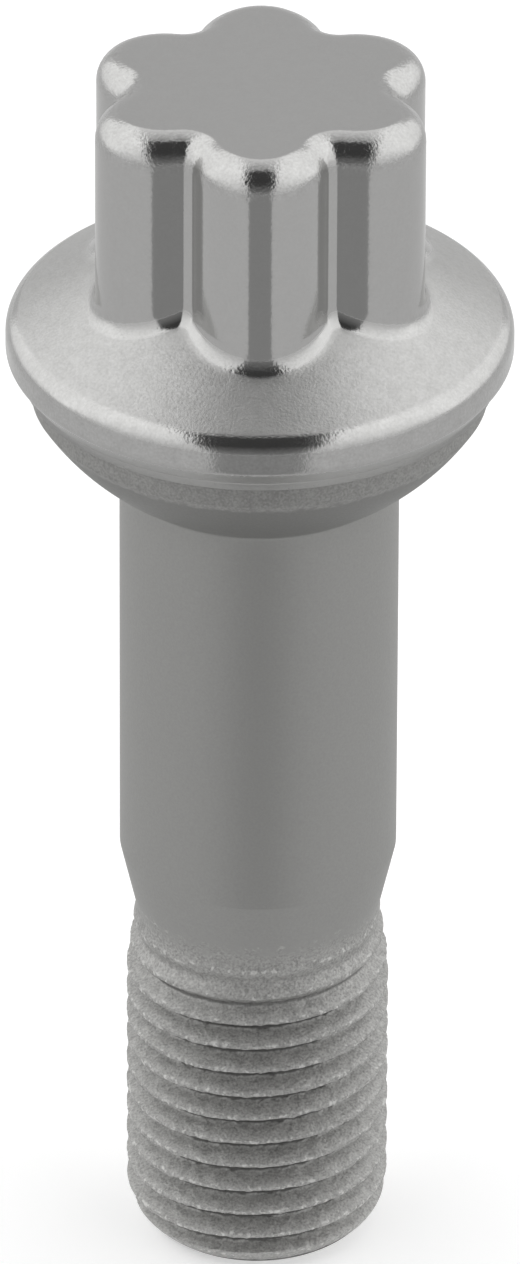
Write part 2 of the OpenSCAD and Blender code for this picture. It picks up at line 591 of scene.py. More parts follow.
@dataclass
class SurfaceTrees:
    """The geometry groups that the bolt and its cover share, and how the thread's edges are eased."""

    crest_ease: float = 0.03
    root_ease: float = 0.16
    point_ease: float = 0.06
    point_power: float = 3.0
    nicked_share: float = 0.45
    flank_nicks: float = 0.06
    lobed: bpy.types.NodeTree = field(init=False)
    turned: bpy.types.NodeTree = field(init=False)
    threaded: bpy.types.NodeTree = field(init=False)

    def __post_init__(self) -> None:
        """Builds each group once."""
        self.lobed = self.lobed_surface()
        self.turned = self.turned_surface()
        self.threaded = self.threaded_surface()

    def lobed_surface(self) -> bpy.types.NodeTree:
        """The lobed head's surface at a depth, from the middle of its top out to the flange's shoulder.

        Returns:
            The group.
        """
        kit = TreeKit("lobed_surface", TreeKind.GEOMETRY)
        size = kit.numbers(dict.fromkeys((
            "Lobe Out", "Lobe Radius", "Flank Out", "Flank Aside", "Flank Radius", "Hollow Out",
            "Hollow Radius", "Lobe Sweep", "Top Height", "Crown Radius", "Foot Radius", "Slope",
            "Shoulder Height", "Shoulder Start", "Depth"), 0.0))
        depth = size["Depth"]
        u, v = kit.grid_shares()
        turn = u * float(LOBES)
        lobe = turn.floor()
        local = (turn - lobe) * 2.0 - 1.0
        side, way = local.sign(), local.abs()
        on_lobe = (way * (1.0 / LOBE_SHARE)).least(1.0)
        past_lobe = ((way - LOBE_SHARE) * (1.0 / (1.0 - LOBE_SHARE))).most(0.0)
        angle = size["Lobe Sweep"] * on_lobe + (HALF_PITCH - size["Lobe Sweep"]) * past_lobe
        in_hollow = way.above(LOBE_SHARE + HAIR)
        nx, ny = angle.cos(), angle.sin()
        on_flank = angle.above(TIP_SWEEP)
        lobe_x = on_flank.blend(size["Lobe Out"] + size["Lobe Radius"] * nx,
                                size["Flank Out"] + size["Flank Radius"] * nx)
        lobe_y = on_flank.blend(size["Lobe Radius"] * ny, size["Flank Radius"] * ny - size["Flank Aside"])
        px = in_hollow.blend(lobe_x, size["Hollow Out"] * math.cos(HALF_PITCH) - size["Hollow Radius"] * nx)
        py = in_hollow.blend(lobe_y, size["Hollow Out"] * math.sin(HALF_PITCH) - size["Hollow Radius"] * ny)
        heading = lobe * (2.0 * HALF_PITCH) - math.pi / 2
        head_cos, head_sin = heading.cos(), heading.sin()

        def place(x: Formula, y: Formula, z: Formula) -> tuple[Formula, Formula, Formula]:
            """Turns a point of one half lobe to its own place."""
            across = y * side
            return x * head_cos - across * head_sin, x * head_sin + across * head_cos, z

        crown = (size["Crown Radius"] - depth).most(LEAST_CROWN_R)
        flat_z = size["Top Height"] - depth
        inset = depth + crown
        top = place((px - inset * nx) * v, (py - inset * ny) * v, flat_z + v * 0.0)
        bend = (1.0 - v) * (math.pi / 2)
        drawn_in = depth + crown * (1.0 - bend.cos())
        rounding = place(px - drawn_in * nx, py - drawn_in * ny, flat_z - crown * (1.0 - bend.sin()))

        foot_r = size["Foot Radius"] + depth
        steep = size["Slope"].tan()
        far = (px * px + py * py).root()
        way_x, way_y = nx + px / far * FOOT_SPREAD, ny + py / far * FOOT_SPREAD
        way_long = (way_x * way_x + way_y * way_y).root()
        way_x, way_y = way_x / way_long, way_y / way_long
        lean = math.pi / 2 - (steep * (px * way_x + py * way_y) / far).apply("ARCTANGENT")
        wall_x, wall_y = px - depth * nx, py - depth * ny
        last_out = foot_r * (1.0 - lean.cos())
        last_x, last_y = wall_x + last_out * way_x, wall_y + last_out * way_y
        last_r = (last_x * last_x + last_y * last_y).root()

        def slope_z(radius: Formula) -> Formula:
            """Height of the flange's top at a radius."""
            return size["Shoulder Height"] + (size["Shoulder Start"] - radius) * steep

        base_z = slope_z(last_r)
        wall = place(wall_x, wall_y, v.blend(flat_z - crown, base_z + foot_r * lean.sin()))
        now = lean * v
        foot_out = foot_r * (1.0 - now.cos())
        foot = place(wall_x + foot_out * way_x, wall_y + foot_out * way_y,
                     base_z + foot_r * (lean.sin() - now.sin()))
        radius = v.blend(last_r, size["Shoulder Start"])
        eased = v.step(0.0, 1.0)
        polar = eased.blend(last_y.apply("ARCTAN2", last_x), way * HALF_PITCH)
        apron = place(radius * polar.cos(), radius * polar.sin(), slope_z(radius))
        sheets = [kit.sheet(rows, formulas) for rows, formulas in (
            (TOP_ROWS, top), (CROWN_ROWS, rounding), (WALL_ROWS, wall), (FOOT_ROWS, foot), (APRON_ROWS, apron))]
        kit.result("Geometry", "NodeSocketGeometry", kit.joined(sheets))
        return kit.tree

    def turned_surface(self) -> bpy.types.NodeTree:
        """A surface turned from the points of a half section.

        Returns:
            The group.
        """
        kit = TreeKit("turned_surface", TreeKind.GEOMETRY)
        section = kit.socket_in("Section", "NodeSocketGeometry")
        u, v = kit.grid_shares()
        extent = kit.node("GeometryNodeAttributeDomainSize", Geometry=section)
        count = kit.formula(extent.outputs["Point Count"])
        sample = kit.node("GeometryNodeSampleIndex")
        sample.data_type = "FLOAT_VECTOR"
        feed(kit.tree, sample.inputs["Geometry"], section)
        value = next(s for s in sample.inputs if s.name == "Value" and s.enabled)
        feed(kit.tree, value, kit.node("GeometryNodeInputPosition").outputs[0])
        feed(kit.tree, sample.inputs["Index"], (v * (count - 1.0)).apply("ROUND"))
        found = next(s for s in sample.outputs if s.enabled)
        parts = kit.node("ShaderNodeSeparateXYZ", Vector=found)
        radius, height = (kit.formula(parts.outputs[i]) * (1.0 / MM) for i in (0, 2))
        angle = u * FULL_TURN + FIRST_VALLEY
        sheet = kit.sheet(count - 1.0, (radius * angle.cos(), radius * angle.sin(), height))
        kit.result("Geometry", "NodeSocketGeometry", sheet)
        return kit.tree

    def threaded_surface(self) -> bpy.types.NodeTree:
        """A rolled thread with its rounded point, its fade-out and the nicks of handling.

        Returns:
            The group.
        """
        kit = TreeKit("threaded_surface", TreeKind.GEOMETRY)
        size = kit.numbers(dict.fromkeys((
            "Crest Radius", "Root Radius", "Blank Radius", "Pitch", "Start Turn", "Full Length",
            "Fade Length", "Point Radius", "Point Length", "Nick Depth", "Nick Shift", "Nick Size",
            "Seed"), 0.0))
        rows_per_turn = kit.number("Rows Per Turn", ROWS_PER_TURN)
        turns = kit.number("Turns", 15.0)
        u, v = kit.grid_shares()
        pitch = size["Pitch"]
        top = size["Full Length"] + size["Fade Length"]
        lap = u + size["Start Turn"]
        row = (v * turns * rows_per_turn).apply("ROUND") / rows_per_turn
        free_z = (row + lap - SPARE_TURNS) * pitch
        z = free_z.clamped(0.0, top)
        angle = u * FULL_TURN + FIRST_VALLEY
        where = kit.vector((angle.cos() * size["Crest Radius"], angle.sin() * size["Crest Radius"], z))
        lumps = kit.node("ShaderNodeTexNoise")
        lumps.noise_dimensions = "4D"
        feed_named(kit.tree, lumps, {"Vector": where, "W": size["Seed"], "Scale": size["Nick Size"],
                                     "Detail": 3.0, "Roughness": 0.65})
        parts = kit.node("ShaderNodeSeparateXYZ", Vector=lumps.outputs["Color"])
        lump, shift = (kit.formula(parts.outputs[i]) - 0.5 for i in (0, 1))
        phase = z / pitch - lap + shift * size["Nick Shift"]
        phase = phase - phase.floor()
        aside = phase.least(1.0 - phase) * pitch
        full = size["Crest Radius"] - size["Root Radius"]
        sunk = (aside - pitch * HALF_CREST) * (1.0 / math.tan(FLANK_LEAN))
        sunk = sunk.apply("SMOOTH_MAX", 0.0, self.crest_ease).apply("SMOOTH_MIN", full, self.root_ease)
        nicked = full * self.nicked_share
        near_crest = ((nicked - sunk) / nicked).clamped(0.0, 1.0)
        rolled = ((top - z) / size["Fade Length"]).clamped(0.0, 1.0)
        radius = size["Blank Radius"] + rolled * (size["Crest Radius"] - sunk - size["Blank Radius"])
        near_end = 1.0 - (z / size["Point Length"]).least(1.0)
        bruised = near_crest * (1.0 - self.flank_nicks) + self.flank_nicks
        radius = radius + lump * size["Nick Depth"] * bruised * rolled * (near_end + 1.0)
        left = near_end.power(self.point_power)
        limit = size["Crest Radius"] - (size["Crest Radius"] - size["Point Radius"]) * left
        radius = radius.apply("SMOOTH_MIN", limit, self.point_ease)
        thread = kit.sheet(turns * rows_per_turn, (radius * angle.cos(), radius * angle.sin(), z))
        disc_r = size["Point Radius"] * v
        disc = kit.sheet(END_ROWS, (disc_r * angle.cos(), disc_r * angle.sin(), v * 0.0))
        kit.result("Geometry", "NodeSocketGeometry", kit.joined([thread, disc]))
        return kit.tree


def section_object(name: str, profile: Profile) -> bpy.types.Object:
    """A mesh object that holds a half section's points."""
    points = [(r * MM, 0.0, z * MM) for r, z in profile.points]
    return mesh_object(name, points, edges=[(i, i + 1) for i in range(len(points) - 1)])


def settle(piece: bpy.types.Object, tree: bpy.types.NodeTree, values: dict[str, object],
           sharp_deg: float) -> None:
    """Runs a geometry tree on an object and keeps the result as a plain closed mesh.

    Args:
        piece: The object, holding what the tree starts from.
        tree: The tree.
        values: The tree's inputs by name.
        sharp_deg: Edges sharper than this stay sharp.
    """
    modifier = piece.modifiers.new("form", "NODES")
    modifier.node_group = tree
    for item in tree.interface.items_tree:
        if item.in_out == "INPUT" and item.name in values:
            modifier[item.identifier] = values[item.name]
    bpy.context.view_layer.update()
    evaluated = piece.evaluated_get(bpy.context.evaluated_depsgraph_get())
    mesh = bpy.data.meshes.new_from_object(evaluated)
    piece.modifiers.clear()
    raw, piece.data = piece.data, mesh
    bpy.data.meshes.remove(raw)
    mesh.name = piece.name
    work = bmesh.new()
    work.from_mesh(mesh)
    bmesh.ops.remove_doubles(work, verts=work.verts, dist=SAME_POINT)
    bmesh.ops.dissolve_degenerate(work, edges=work.edges, dist=NO_LENGTH)
    bmesh.ops.recalc_face_normals(work, faces=work.faces)
    if work.calc_volume(signed=True) < 0:
        bmesh.ops.reverse_faces(work, faces=work.faces)
    work.to_mesh(mesh)
    work.free()
    for polygon in mesh.polygons:
        polygon.use_smooth = True
    mesh.set_sharp_from_angle(angle=math.radians(sharp_deg))
    mesh.update()


def head_values(head: HeadSizes, flange: FlangeSizes, depth: float) -> dict[str, float]:
    """The lobed surface's inputs at a depth under the cover's outside.

    Args:
        head: The head's sizes.
        flange: The flange's sizes.
        depth: The depth.

    Returns:
        Values by input name.
    """
    start = flange.shoulder_start(depth)
    return {
        "Lobe Out": head.lobe_out, "Lobe Radius": head.lobe_r, "Flank Out": head.flank_out,
        "Flank Aside": head.flank_aside, "Flank Radius": head.flank_r, "Hollow Out": head.valley_out,
        "Hollow Radius": head.valley_r, "Lobe Sweep": head.sweep, "Top Height": head.top_z,
        "Crown Radius": head.crown_r, "Foot Radius": head.foot_r, "Slope": flange.slope,
        "Shoulder Height": flange.slope_z(start, depth), "Shoulder Start": start, "Depth": depth,
    }


def flange_side(flange: FlangeSizes, depth: float, low_z: float, steps: int) -> list[Point]:
    """The flange's side from the shoulder down to its lower edge, at a depth.

    Args:
        flange: The flange's sizes.
        depth: The depth under the cover's outside.
        low_z: Height at which the side ends.
        steps: Steps in each rounding.

    Returns:
        The section's points, from the shoulder's start downwards.
    """
    side = Profile()
    centre = (flange.shoulder_out, flange.shoulder_z)
    side.arc(centre, flange.shoulder_r - depth, math.pi / 2 - flange.slope, 0.0, steps)
    bend_z = flange.tuck_z + flange.tuck_bend_r * math.tan(flange.tuck_angle / 2)
    side.line((flange.flange_r - depth, bend_z), steps=4)
    centre = (flange.flange_r - flange.tuck_bend_r, bend_z)
    side.arc(centre, flange.tuck_bend_r - depth, 0.0, -flange.tuck_angle, max(3, steps // 2))
    r, z = side.points[-1]
    side.line((r - (z - low_z) * math.tan(flange.tuck_angle), low_z), steps=5)
    return side.points


class SurfaceEffects:
    """Shader groups that more than one finish uses."""

    def __init__(self) -> None:
        """Builds each group once."""
        self.grain = self.grain_group()

    @staticmethod
    def grain_group() -> bpy.types.NodeTree:
        """Fine grain as a height and as a speckle mask, from the piece's own coordinates.

        Returns:
            The group.
        """
        kit = TreeKit("surface_grain", TreeKind.SHADER)
        vector = kit.socket_in("Vector", "NodeSocketVector")
        fine, coarse = kit.number("Fine Scale", 4000.0), kit.number("Coarse Scale", 900.0)
        share = kit.number("Coarse Share", 0.4)
        speck_scale, speck_level = kit.number("Speck Scale", 5000.0), kit.number("Speck Level", 0.62)
        noises = []
        for scale, detail in ((fine, 3.0), (coarse, 4.0), (speck_scale, 1.0)):
            noise = kit.node("ShaderNodeTexNoise", Vector=vector, Scale=scale, Detail=detail)
            noises.append(kit.formula(noise.outputs[0]))
        height = share.blend(noises[0], noises[1])
        speck = ((noises[2] - speck_level) * SPECK_EDGE).clamped(0.0, 1.0)
        kit.result("Height", "NodeSocketFloat", height)
        kit.result("Fine", "NodeSocketFloat", noises[0])
        kit.result("Coarse", "NodeSocketFloat", noises[1])
        kit.result("Speck", "NodeSocketFloat", speck)
        return kit.tree


def plain_material(name: str, values: dict[str, object]) -> bpy.types.Material:
    """A material with constants on its shader's own sockets.

    Args:
        name: The material's name.
        values: The constants by input name.

    Returns:
        The material.
    """
    made = bpy.data.materials.new(name)
    made.use_nodes = True
    feed_named(made.node_tree, made.node_tree.nodes["Principled BSDF"], values)
    return made


class MaterialKit:
    """One material's node tree, with its shader and the piece's own coordinates."""

    def __init__(self, name: str) -> None:
        """Starts the material.

        Args:
            name: The material's name.
        """
        self.material = plain_material(name, {})
        self.tree = self.material.node_tree
        self.shader = self.tree.nodes["Principled BSDF"]
        self.coordinates = self.tree.nodes.new("ShaderNodeTexCoord").outputs["Object"]
        parts = self.tree.nodes.new("ShaderNodeSeparateXYZ")
        self.tree.links.new(self.coordinates, parts.inputs[0])
        self.x, self.y, self.z = (Formula(self.tree, s) for s in parts.outputs)

    def group(self, tree: bpy.types.NodeTree, values: dict[str, object]) -> dict[str, Formula]:
        """Places a shader group.

        Args:
            tree: The group's tree.
            values: Its inputs by name.

        Returns:
            Its outputs by name.
        """
        node = self.tree.nodes.new("ShaderNodeGroup")
        node.node_tree = tree
        feed_named(self.tree, node, {"Vector": self.coordinates, **values})
        return {s.name: Formula(self.tree, s) for s in node.outputs}

    def colour_mix(self, share: Formula, first: object, second: object) -> bpy.types.NodeSocket:
        """A mix of two colours.

        Args:
            share: The second colour's share.
            first: A colour or a socket.
            second: A colour or a socket.

        Returns:
            The mixed colour.
        """
        node = self.tree.nodes.new("ShaderNodeMix")
        node.data_type = "RGBA"
        slots = [s for s in node.inputs if s.enabled]
        for slot, value in zip(slots, (share, first, second)):
            feed(self.tree, slot, (*value, 1.0) if isinstance(value, tuple) else value)
        return next(s for s in node.outputs if s.enabled)

    def bump(self, height: Formula, distance: float, strength: object) -> None:
        """Gives the shader a bumped normal.

        Args:
            height: The bump's height, about nought to one.
            distance: What one unit of height is, in metres.
            strength: How much of it shows.
        """
        node = self.tree.nodes.new("ShaderNodeBump")
        feed_named(self.tree, node, {"Distance": distance, "Strength": strength, "Height": height})
        self.put("Normal", node.outputs[0])

    def put(self, name: str, value: object) -> None:
        """Gives one of the shader's inputs its value."""
        feed(self.tree, self.shader.inputs[name], value)


def shifted(pair: Point, by: float) -> Point:
    """Both numbers of a pair, moved by the same amount."""
    return pair[0] + by, pair[1] + by


@dataclass(frozen=True)
class BrightSheet:
    """Drawn bright sheet: mirror-like on the walls, with a fine drawn grain on the bends and the flange, and
    painted shade on the tucked-in edge.

    Each pair of heights or distances, in millimetres, says where one zone ends and the next is full.
    """

    colour: Colour = (0.53, 0.529, 0.522)
    shade: Colour = (0.43, 0.428, 0.42)
    # Painted shade for the tucked-in edge, which faces down towards the coated seat.
    tuck: Colour = (0.36, 0.358, 0.35)
    wall_roughness: float = 0.11
    bend_roughness: float = 0.15
    slope_roughness: float = 0.42
    tuck_roughness: float = 0.3
    roughness_grain: float = 0.12
    tuck_shade_share: float = 0.7
    fine_streak: float = 1.5
    wall_streak: float = 0.25
    wall_bump: float = 0.1
    bend_bump_more: float = 0.5
    shoulder_bump_less: float = 0.3
    bump_m: float = 0.00004
    above_slope: Point = (0.12, 0.03)
    within_slope: Point = (0.05, -0.25)
    under_tuck: Point = (0.3, -0.3)
    foot_z: Point = (58.8, 57.6)
    crown_rise: Point = (-0.35, 0.2)
    top_fall: Point = (-0.005, -0.08)
    shoulder_rise: Point = (-0.2, 0.2)
    shoulder_out: Point = (-0.1, 0.1)

    def material(self, effects: SurfaceEffects, head: HeadSizes, flange: FlangeSizes) -> bpy.types.Material:
        """Makes the finish.

        Args:
            effects: The shared shader groups.
            head: The head's sizes, which say where the walls are.
            flange: The flange's sizes, which say where its slope is.

        Returns:
            The material.
        """
        kit = MaterialKit("bright_sheet")
        grain = kit.group(effects.grain, {"Fine Scale": 6500.0, "Coarse Scale": 1500.0, "Coarse Share": 0.3})
        z = kit.z * (1.0 / MM)
        radius = (kit.x * kit.x + kit.y * kit.y).root() * (1.0 / MM)
        start = flange.shoulder_start(0.0)
        outward = radius - start
        over_slope = z + outward * math.tan(flange.slope) - flange.slope_z(start, 0.0)
        slope = over_slope.step(*self.above_slope) * outward.step(*self.within_slope)
        tuck = z.step(*shifted(self.under_tuck, flange.tuck_z))
        low = z.step(*self.foot_z)
        crown = z.step(*shifted(self.crown_rise, head.top_z - head.crown_r))
        crown = crown * z.step(*shifted(self.top_fall, head.top_z))
        grained = (low + crown).least(1.0)
        shoulder = z.step(*shifted(self.shoulder_rise, flange.tuck_z)) * outward.step(*self.shoulder_out)
        streak = (grain["Fine"] - 0.5) * self.fine_streak + (grain["Coarse"] - 0.5)
        streak = streak * grained.blend(self.wall_streak, 1.0) + 0.5
        base = kit.colour_mix(streak.clamped(0.0, 1.0), self.colour, self.shade)
        # Painted shade darkens the tucked-in edge under the flange.
        kit.put("Base Color", kit.colour_mix(tuck * self.tuck_shade_share, base, self.tuck))
        kit.put("Metallic", 1.0)
        rough = slope.blend(grained.blend(self.wall_roughness, self.bend_roughness), self.slope_roughness)
        rough = tuck.blend(rough, self.tuck_roughness)
        kit.put("Roughness", rough + (grain["Fine"] - 0.5) * self.roughness_grain)
        bend_bump = self.bend_bump_more - shoulder * self.shoulder_bump_less
        kit.bump(grain["Height"], self.bump_m, grained * bend_bump + self.wall_bump)
        return kit.material


@dataclass(frozen=True)
class FlakeCoat:
    """Matt grey flake coating on forged steel: smooth on the shank, painted darker on the seat as shade under
    the flange, grainy on the thread, with painted shade in the thread's roots.

    Pairs in millimetres say where one zone ends and the next is full; those of the thread are shares of
    a turn.
    """

    shank: Colour = (0.37, 0.369, 0.36)
    # Painted shade for the ball seat, which faces down under the flange.
    seat: Colour = (0.25, 0.25, 0.243)
    light_flake: Colour = (0.55, 0.547, 0.535)
    dark_flake: Colour = (0.31, 0.308, 0.3)
    # Painted shade for the thread's roots, where the crest above shades the groove.
    root: Colour = (0.08, 0.079, 0.076)
    nick: Colour = (0.85, 0.85, 0.83)
    metallic: float = 0.85
    smooth_roughness: float = 0.53
    grained_roughness: float = 0.6
    roughness_grain: float = 0.25
    bump_m: float = 0.00008
    wander_mm: float = 3.0
    collar_wander: float = 0.3
    phase_wander: float = 0.2
    fine_flake: float = 2.6
    coarse_flake: float = 0.8
    smooth_flake: float = 0.12
    collar_shade: float = 0.45
    root_shade_share: float = 0.85
    nick_share: float = 0.5
    smooth_bump: float = 0.16
    collar_bump: float = 0.5
    thread_bump: float = 0.75
    thread_fall: Point = (1.6, -0.4)
    seat_rise: Point = (0.0, 0.3)
    collar_rise: Point = (-0.55, -0.1)
    turns_fall: Point = (2.4, 0.0)
    root_phase: float = 0.53
    root_width: Point = (0.13, 0.05)
    crest_width: Point = (0.13, 0.05)

    def material(self, effects: SurfaceEffects, bolt: "ForgedBolt") -> bpy.types.Material:
        """Makes the finish.

        Args:
            effects: The shared shader groups.
            bolt: The bolt's sizes, which say where each zone and each turn of the thread lies.

        Returns:
            The material.
        """
        kit = MaterialKit("flake_coat")
        grain = kit.group(effects.grain, {"Fine Scale": 7500.0, "Coarse Scale": 2000.0, "Coarse Share": 0.4,
                                          "Speck Scale": 3600.0, "Speck Level": 0.56})
        z = kit.z * (1.0 / MM)
        wander = (grain["Coarse"] - 0.5) * self.wander_mm
        on_thread = (z + wander).step(*shifted(self.thread_fall, bolt.thread_len + bolt.fade_len))
        seat_shade_mask = z.step(*shifted(self.seat_rise, bolt.seat.seat_z))
        on_collar = (z + wander * self.collar_wander).step(*shifted(self.collar_rise, bolt.seat.collar_z))
        grained = (on_thread + on_collar).least(1.0)
        lap = (kit.y.apply("ARCTAN2", kit.x) - FIRST_VALLEY) * (1.0 / FULL_TURN) + bolt.start_turn
        phase = z * (1.0 / bolt.pitch) - lap + (grain["Coarse"] - 0.5) * self.phase_wander
        phase = phase - phase.floor()
        full_turns = z.step(*shifted(self.turns_fall, bolt.thread_len))
        # Painted shade: a mask along the thread's roots, where the crest above would shade them.
        root_shade_mask = (phase - self.root_phase).abs().step(*self.root_width) * full_turns
        at_crest = phase.least(1.0 - phase).step(*self.crest_width)
        flake = (grain["Fine"] - 0.5) * self.fine_flake + (grain["Coarse"] - 0.5) * self.coarse_flake + 0.5
        flake = flake.clamped(0.0, 1.0)
        smooth_base = kit.colour_mix(flake * self.smooth_flake, self.shank, self.dark_flake)
        # Painted shade: the seat takes a darker colour for the shade under the flange.
        base = kit.colour_mix(seat_shade_mask, smooth_base, self.seat)
        rough_base = kit.colour_mix(flake, self.dark_flake, self.light_flake)
        # On the collar, part of the seat's painted shade stays under the flake grain.
        base = kit.colour_mix(grained * (1.0 - on_collar * self.collar_shade), base, rough_base)
        # Painted shade darkens the thread's roots.
        base = kit.colour_mix(root_shade_mask * self.root_shade_share, base, self.root)
        base = kit.colour_mix(grain["Speck"] * at_crest * on_thread * self.nick_share, base, self.nick)
        kit.put("Base Color", base)
        kit.put("Metallic", self.metallic)
        rough = grained.blend(self.smooth_roughness, self.grained_roughness)
        kit.put("Roughness", (grain["Fine"] - 0.5) * self.roughness_grain + rough)
        rest_bump = on_collar.blend(self.smooth_bump, self.collar_bump)
        kit.bump(grain["Height"], self.bump_m, on_thread.blend(rest_bump, self.thread_bump))
        return kit.material


@dataclass
class DrawnCover:
    """The bright cover: lobes, flange and tucked edge of one drawn sheet."""

    head: HeadSizes
    flange: FlangeSizes
    sheet_t: float = 0.5
    clear_of_edge: float = 0.01
    sharp_deg: float = 50.0

    def section(self) -> Profile:
        """Half section of the cover's rim: down its outside, round its edge and up its inside.

        Returns:
            The section.
        """
        half, angle = self.sheet_t / 2, self.flange.tuck_angle
        end_z = self.flange.edge_z + half
        rise = half * math.sin(angle)
        outer = flange_side(self.flange, 0.0, end_z + rise, steps=14)
        inner = flange_side(self.flange, self.sheet_t, end_z + rise, steps=10)
        made = Profile().add(*outer)
        centre = Vector(outer[-1]) + Vector((-math.cos(angle), math.sin(angle))) * half
        made.arc((centre.x, end_z), half, -angle, -angle - math.pi, steps=10)
        return made.add(*[p for p in reversed(inner) if p[1] > made.points[-1][1] + self.clear_of_edge])

    def build(self, trees: SurfaceTrees, material: bpy.types.Material) -> bpy.types.Object:
        """Builds the cover's mesh.

        Args:
            trees: The shared geometry groups.
            material: The cover's finish.

        Returns:
            The cover.
        """
        kit = TreeKit("drawn_cover", TreeKind.GEOMETRY)
        given = kit.socket_in("Geometry", "NodeSocketGeometry")
        outer = head_values(self.head, self.flange, 0.0)
        deeper = head_values(self.head, self.flange, self.sheet_t)
        inner = {name: value for name, value in deeper.items() if value != outer[name]}
        outside = kit.numbers(outer)
        inside = {**outside, **{name: kit.number(f"Inner {name}", value) for name, value in inner.items()}}
        surfaces = [kit.group(trees.lobed, outside), kit.group(trees.lobed, inside),
                    kit.group(trees.turned, {"Section": given})]
        kit.finish_mesh(kit.joined(surfaces))
        cover = section_object("cover", self.section())
        values = {**outer, **{f"Inner {name}": value for name, value in inner.items()}, "Material": material}
        settle(cover, kit.tree, values, self.sharp_deg)
        return cover


@dataclass
class ForgedBolt:
    """The forged bolt: rolled thread, shank, ball seat, collar and the head's core."""

    head: HeadSizes
    flange: FlangeSizes
    crest_r: float = 7.0
    pitch: float = 1.5
    thread_len: float = 15.6
    fade_len: float = 3.8
    point_r: float = 5.6
    point_len: float = 3.0
    neck_len: float = 0.3
    cone_len: float = 3.7
    neck_ease_r: float = 1.2
    shank_ease_r: float = 0.5
    cone_end: float = 0.25
    under_seat: float = 0.2
    over_seat: float = 0.06
    core_depth: float = 0.55
    cover_gap: float = 0.05
    start_turn: float = 0.57
    nick_depth: float = 0.3
    nick_shift: float = 0.22
    nick_size: float = 2.6
    seed: float = 4.0
    sharp_deg: float = 40.0

    @property
    def seat(self) -> SeatSizes:
        """The ball seat that the flange stands on."""
        return self.flange.seat

    @property
    def root_r(self) -> float:
        """Radius at the thread's root."""
        return self.crest_r - ROOT_DEPTH * self.pitch

    @property
    def blank_r(self) -> float:
        """Radius of the blank that the thread is rolled on."""
        return self.crest_r - BLANK_DEPTH * self.pitch

    @property
    def neck_z(self) -> float:
        """Height at which the cone starts."""
        return self.thread_len + self.fade_len + self.neck_len

    def section(self) -> Profile:
        """Half section from the thread's end up to the core's shoulder.

        Returns:
            The section.
        """
        seat = self.seat
        shank_r, shank_z = seat.shank_r, self.neck_z + self.cone_len
        gap_z = self.flange.edge_z - self.cover_gap
        made = Profile().add((self.blank_r, self.thread_len + self.fade_len))
        made.corner((self.blank_r, self.neck_z), (shank_r, shank_z), self.neck_ease_r, steps=5)
        cone_rise = self.cone_len / (shank_r - self.blank_r)
        made.line((shank_r - self.cone_end, shank_z - self.cone_end * cone_rise), steps=6)
        made.corner((shank_r, shank_z), (shank_r, seat.seat_z), self.shank_ease_r, steps=5)
        made.line((shank_r, seat.seat_z - self.under_seat), steps=20)
        limits = (seat.seat_z + self.over_seat, seat.collar_z)
        start, end = (math.asin((z - seat.ball_z) / seat.ball_r) for z in limits)
        made.arc((0.0, seat.ball_z), seat.ball_r, start, end, steps=26)
        made.line((seat.collar_r, gap_z), steps=5)
        side = flange_side(self.flange, self.core_depth, gap_z, steps=8)
        made.line((side[-1][0], gap_z), steps=2)
        made.add(*reversed(side[:-1]))
        return made

    def build(self, trees: SurfaceTrees, material: bpy.types.Material) -> bpy.types.Object:
        """Builds the bolt's mesh.

        Args:
            trees: The shared geometry groups.
            material: The bolt's finish.

        Returns:
            The bolt.
        """
        turns = math.ceil((self.thread_len + self.fade_len) / self.pitch) + SPARE_TURNS
        thread = {
            "Crest Radius": self.crest_r, "Root Radius": self.root_r, "Blank Radius": self.blank_r,
            "Pitch": self.pitch, "Start Turn": self.start_turn, "Full Length": self.thread_len,
            "Fade Length": self.fade_len, "Point Radius": self.point_r, "Point Length": self.point_len,
            "Nick Depth": self.nick_depth, "Nick Shift": self.nick_shift, "Nick Size": self.nick_size,
            "Seed": self.seed, "Rows Per Turn": ROWS_PER_TURN, "Turns": turns,
        }
        core = head_values(self.head, self.flange, self.core_depth)
        kit = TreeKit("forged_bolt", TreeKind.GEOMETRY)
        given = kit.socket_in("Geometry", "NodeSocketGeometry")
        surfaces = [kit.group(trees.lobed, kit.numbers(core)), kit.group(trees.threaded, kit.numbers(thread)),
                    kit.group(trees.turned, {"Section": given})]
        kit.finish_mesh(kit.joined(surfaces))
        bolt = section_object("bolt", self.section())
        settle(bolt, kit.tree, {**core, **thread, "Material": material}, self.sharp_deg)
        return bolt


@dataclass(frozen=True)
class Band:
    """One band of the cards that curve over the bolt: a bright wall on each side and a darker gap between.

    Angles are in degrees and levels are brightness, each at the band's start and at its end. Turns run
    from the front's horizon up over the top, and the gap's half width from the middle plane.
    """

    name: str
    turns: Point
    half_gap: Point
    wall: Point
    gap: Point


BANDS = (
    Band("low", (-4.0, 35.0), (20.0, 26.0), (0.8, 1.2), (0.3, 0.065)),
    Band("front", (35.0, 84.0), (26.0, 18.0), (1.2, 1.45), (0.065, 0.065)),
    Band("top", (84.0, 138.0), (18.0, 5.0), (1.45, 1.35), (0.5, 1.1)),
    Band("back", (138.0, 182.0), (25.0, 37.0), (1.4, 1.15), (0.68, 0.68)),
)


